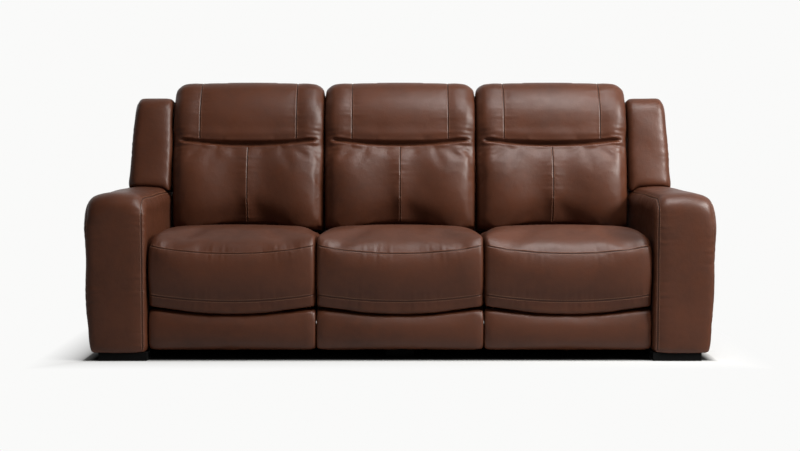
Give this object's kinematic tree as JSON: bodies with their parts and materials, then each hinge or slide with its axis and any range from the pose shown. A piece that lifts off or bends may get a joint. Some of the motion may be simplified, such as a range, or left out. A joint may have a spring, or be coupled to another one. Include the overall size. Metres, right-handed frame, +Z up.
{
  "type": "reclining sofa",
  "caption": "Leather sofa with padded arms, side wings and pillow backs with sewn headrests; the end seats recline and fold out footrests.",
  "frame": {"origin": "on the floor, under the centre of the sofa", "axes": "+X to the right as seen from the front, +Y to the rear, +Z up; the front faces -Y"},
  "size_m": [2.26, 0.95, 1.0161],
  "materials": {
    "leather": "dark brown grained leather, satin",
    "rear_leather": "matching leather cloth on the rear",
    "webbing": "woven straps",
    "foot_black": "black blocks",
    "frame_wood": "bare plywood and boards",
    "handle_plastic": "dark moulded plastic",
    "steel": "black painted steel"
  },
  "bodies": {
    "base": {"front_left_foot": "foot_black", "front_middle_foot": "foot_black", "front_right_foot": "foot_black", "left_arm_cover": "leather", "left_arm_frame": "frame_wood", "left_mechanism_base": "steel", "left_release_bezel": "handle_plastic", "left_wing": "leather", "mid_base_rail": "steel", "middle_back_cushion": "leather", "middle_back_frame": "frame_wood", "middle_back_rear_cover": "rear_leather", "middle_base_frame": "frame_wood", "middle_front_panel": "leather", "middle_seat_cushion": "leather", "middle_seat_frame": "frame_wood", "middle_seat_straps": "webbing", "rear_base_rail": "steel", "rear_left_foot": "foot_black", "rear_lower_panel": "rear_leather", "rear_middle_foot": "foot_black", "rear_right_foot": "foot_black", "right_arm_cover": "leather", "right_arm_frame": "frame_wood", "right_mechanism_base": "steel", "right_release_bezel": "handle_plastic", "right_wing": "leather"},
    "left_back": {"left_back_cushion": "leather", "left_back_frame": "frame_wood", "left_back_rear_cover": "rear_leather"},
    "left_footrest": {"left_footrest_frame": "steel", "left_footrest_pad": "leather"},
    "left_guide_a": {"left_footrest_guide_a": "steel"},
    "left_guide_b": {"left_footrest_guide_b": "steel"},
    "left_link_a": {"left_footrest_link_a": "steel"},
    "left_link_b": {"left_footrest_link_b": "steel"},
    "left_front_swing": {"left_front_swing_links": "leather"},
    "left_rear_swing": {"left_rear_swing_links": "leather"},
    "left_handle": {"left_release_handle": "handle_plastic"},
    "left_seat": {"left_seat_cushion": "leather", "left_seat_frame": "frame_wood", "left_seat_plates": "steel", "left_seat_straps": "webbing"},
    "right_back": {"right_back_cushion": "leather", "right_back_frame": "frame_wood", "right_back_rear_cover": "rear_leather"},
    "right_footrest": {"right_footrest_frame": "steel", "right_footrest_pad": "leather"},
    "right_guide_a": {"right_footrest_guide_a": "steel"},
    "right_guide_b": {"right_footrest_guide_b": "steel"},
    "right_link_a": {"right_footrest_link_a": "steel"},
    "right_link_b": {"right_footrest_link_b": "steel"},
    "right_front_swing": {"right_front_swing_links": "leather"},
    "right_rear_swing": {"right_rear_swing_links": "leather"},
    "right_handle": {"right_release_handle": "handle_plastic"},
    "right_seat": {"right_seat_cushion": "leather", "right_seat_frame": "frame_wood", "right_seat_plates": "steel", "right_seat_straps": "webbing"}
  },
  "joints": [
    {"name": "left_front_swing", "type": "hinge", "parent": "base", "child": "left_front_swing", "pos_m": [-0.6, -0.2, 0.212], "axis": [-1, 0, 0], "range_deg": [0, 35.01]},
    {"name": "left_seat_level", "type": "hinge", "parent": "left_front_swing", "child": "left_seat", "pos_m": [-0.6, -0.18911, 0.08748], "axis": [-1, 0, 0], "range_deg": [-35.01, 0]},
    {"name": "left_rear_swing", "type": "hinge", "parent": "base", "child": "left_rear_swing", "pos_m": [-0.6, 0.135, 0.212], "axis": [-1, 0, 0], "range_deg": [0, 35.01]},
    {"name": "left_recline", "type": "hinge", "parent": "left_seat", "child": "left_back", "pos_m": [-0.6, 0.15, 0.26], "axis": [-1, 0, 0], "range_deg": [0, 28]},
    {"name": "left_footrest", "type": "hinge", "parent": "left_seat", "child": "left_link_a", "pos_m": [-0.6, -0.27, 0.28], "axis": [-1, 0, 0], "range_deg": [0, 110]},
    {"name": "left_link_b_turn", "type": "hinge", "parent": "left_link_a", "child": "left_link_b", "pos_m": [-0.6, -0.07061, 0.18702], "axis": [-1, 0, 0], "range_deg": [-60.01, 0]},
    {"name": "left_guide_a_turn", "type": "hinge", "parent": "left_seat", "child": "left_guide_a", "pos_m": [-0.6, -0.24387, 0.28213], "axis": [-1, 0, 0], "range_deg": [0, 108.14]},
    {"name": "left_guide_b_turn", "type": "hinge", "parent": "left_link_a", "child": "left_guide_b", "pos_m": [-0.6, -0.0504, 0.20751], "axis": [-1, 0, 0], "range_deg": [-62.31, 0]},
    {"name": "left_board_turn", "type": "hinge", "parent": "left_link_b", "child": "left_footrest", "pos_m": [-0.6, -0.38, 0.073], "axis": [-1, 0, 0], "range_deg": [0, 42.01]},
    {"name": "left_release", "type": "hinge", "parent": "base", "child": "left_handle", "pos_m": [-1.125, -0.17, 0.427], "axis": [0, 1, 0], "range_deg": [0, 30], "stiffness_Nm_per_rad": 0.2},
    {"name": "right_front_swing", "type": "hinge", "parent": "base", "child": "right_front_swing", "pos_m": [0.6, -0.2, 0.212], "axis": [-1, 0, 0], "range_deg": [0, 35.01]},
    {"name": "right_seat_level", "type": "hinge", "parent": "right_front_swing", "child": "right_seat", "pos_m": [0.6, -0.18911, 0.08748], "axis": [-1, 0, 0], "range_deg": [-35.01, 0]},
    {"name": "right_rear_swing", "type": "hinge", "parent": "base", "child": "right_rear_swing", "pos_m": [0.6, 0.135, 0.212], "axis": [-1, 0, 0], "range_deg": [0, 35.01]},
    {"name": "right_recline", "type": "hinge", "parent": "right_seat", "child": "right_back", "pos_m": [0.6, 0.15, 0.26], "axis": [-1, 0, 0], "range_deg": [0, 28]},
    {"name": "right_footrest", "type": "hinge", "parent": "right_seat", "child": "right_link_a", "pos_m": [0.6, -0.27, 0.28], "axis": [-1, 0, 0], "range_deg": [0, 110]},
    {"name": "right_link_b_turn", "type": "hinge", "parent": "right_link_a", "child": "right_link_b", "pos_m": [0.6, -0.07061, 0.18702], "axis": [-1, 0, 0], "range_deg": [-60.01, 0]},
    {"name": "right_guide_a_turn", "type": "hinge", "parent": "right_seat", "child": "right_guide_a", "pos_m": [0.6, -0.24387, 0.28213], "axis": [-1, 0, 0], "range_deg": [0, 108.14]},
    {"name": "right_guide_b_turn", "type": "hinge", "parent": "right_link_a", "child": "right_guide_b", "pos_m": [0.6, -0.0504, 0.20751], "axis": [-1, 0, 0], "range_deg": [-62.31, 0]},
    {"name": "right_board_turn", "type": "hinge", "parent": "right_link_b", "child": "right_footrest", "pos_m": [0.6, -0.38, 0.073], "axis": [-1, 0, 0], "range_deg": [0, 42.01]},
    {"name": "right_release", "type": "hinge", "parent": "base", "child": "right_handle", "pos_m": [1.125, -0.17, 0.427], "axis": [0, -1, 0], "range_deg": [0, 30], "stiffness_Nm_per_rad": 0.2}
  ],
  "couplings": [
    {"joint": "left_front_swing", "follows": "left_recline", "ratio": 1.25},
    {"joint": "left_seat_level", "follows": "left_recline", "ratio": -1.25},
    {"joint": "left_rear_swing", "follows": "left_recline", "ratio": 1.25},
    {"joint": "left_link_b_turn", "follows": "left_footrest", "ratio": -0.54546},
    {"joint": "left_guide_a_turn", "follows": "left_footrest", "ratio": 0.98297},
    {"joint": "left_guide_b_turn", "follows": "left_footrest", "ratio": -0.56639},
    {"joint": "left_board_turn", "follows": "left_footrest", "ratio": 0.38182},
    {"joint": "right_front_swing", "follows": "right_recline", "ratio": 1.25},
    {"joint": "right_seat_level", "follows": "right_recline", "ratio": -1.25},
    {"joint": "right_rear_swing", "follows": "right_recline", "ratio": 1.25},
    {"joint": "right_link_b_turn", "follows": "right_footrest", "ratio": -0.54546},
    {"joint": "right_guide_a_turn", "follows": "right_footrest", "ratio": 0.98297},
    {"joint": "right_guide_b_turn", "follows": "right_footrest", "ratio": -0.56639},
    {"joint": "right_board_turn", "follows": "right_footrest", "ratio": 0.38182}
  ]
}
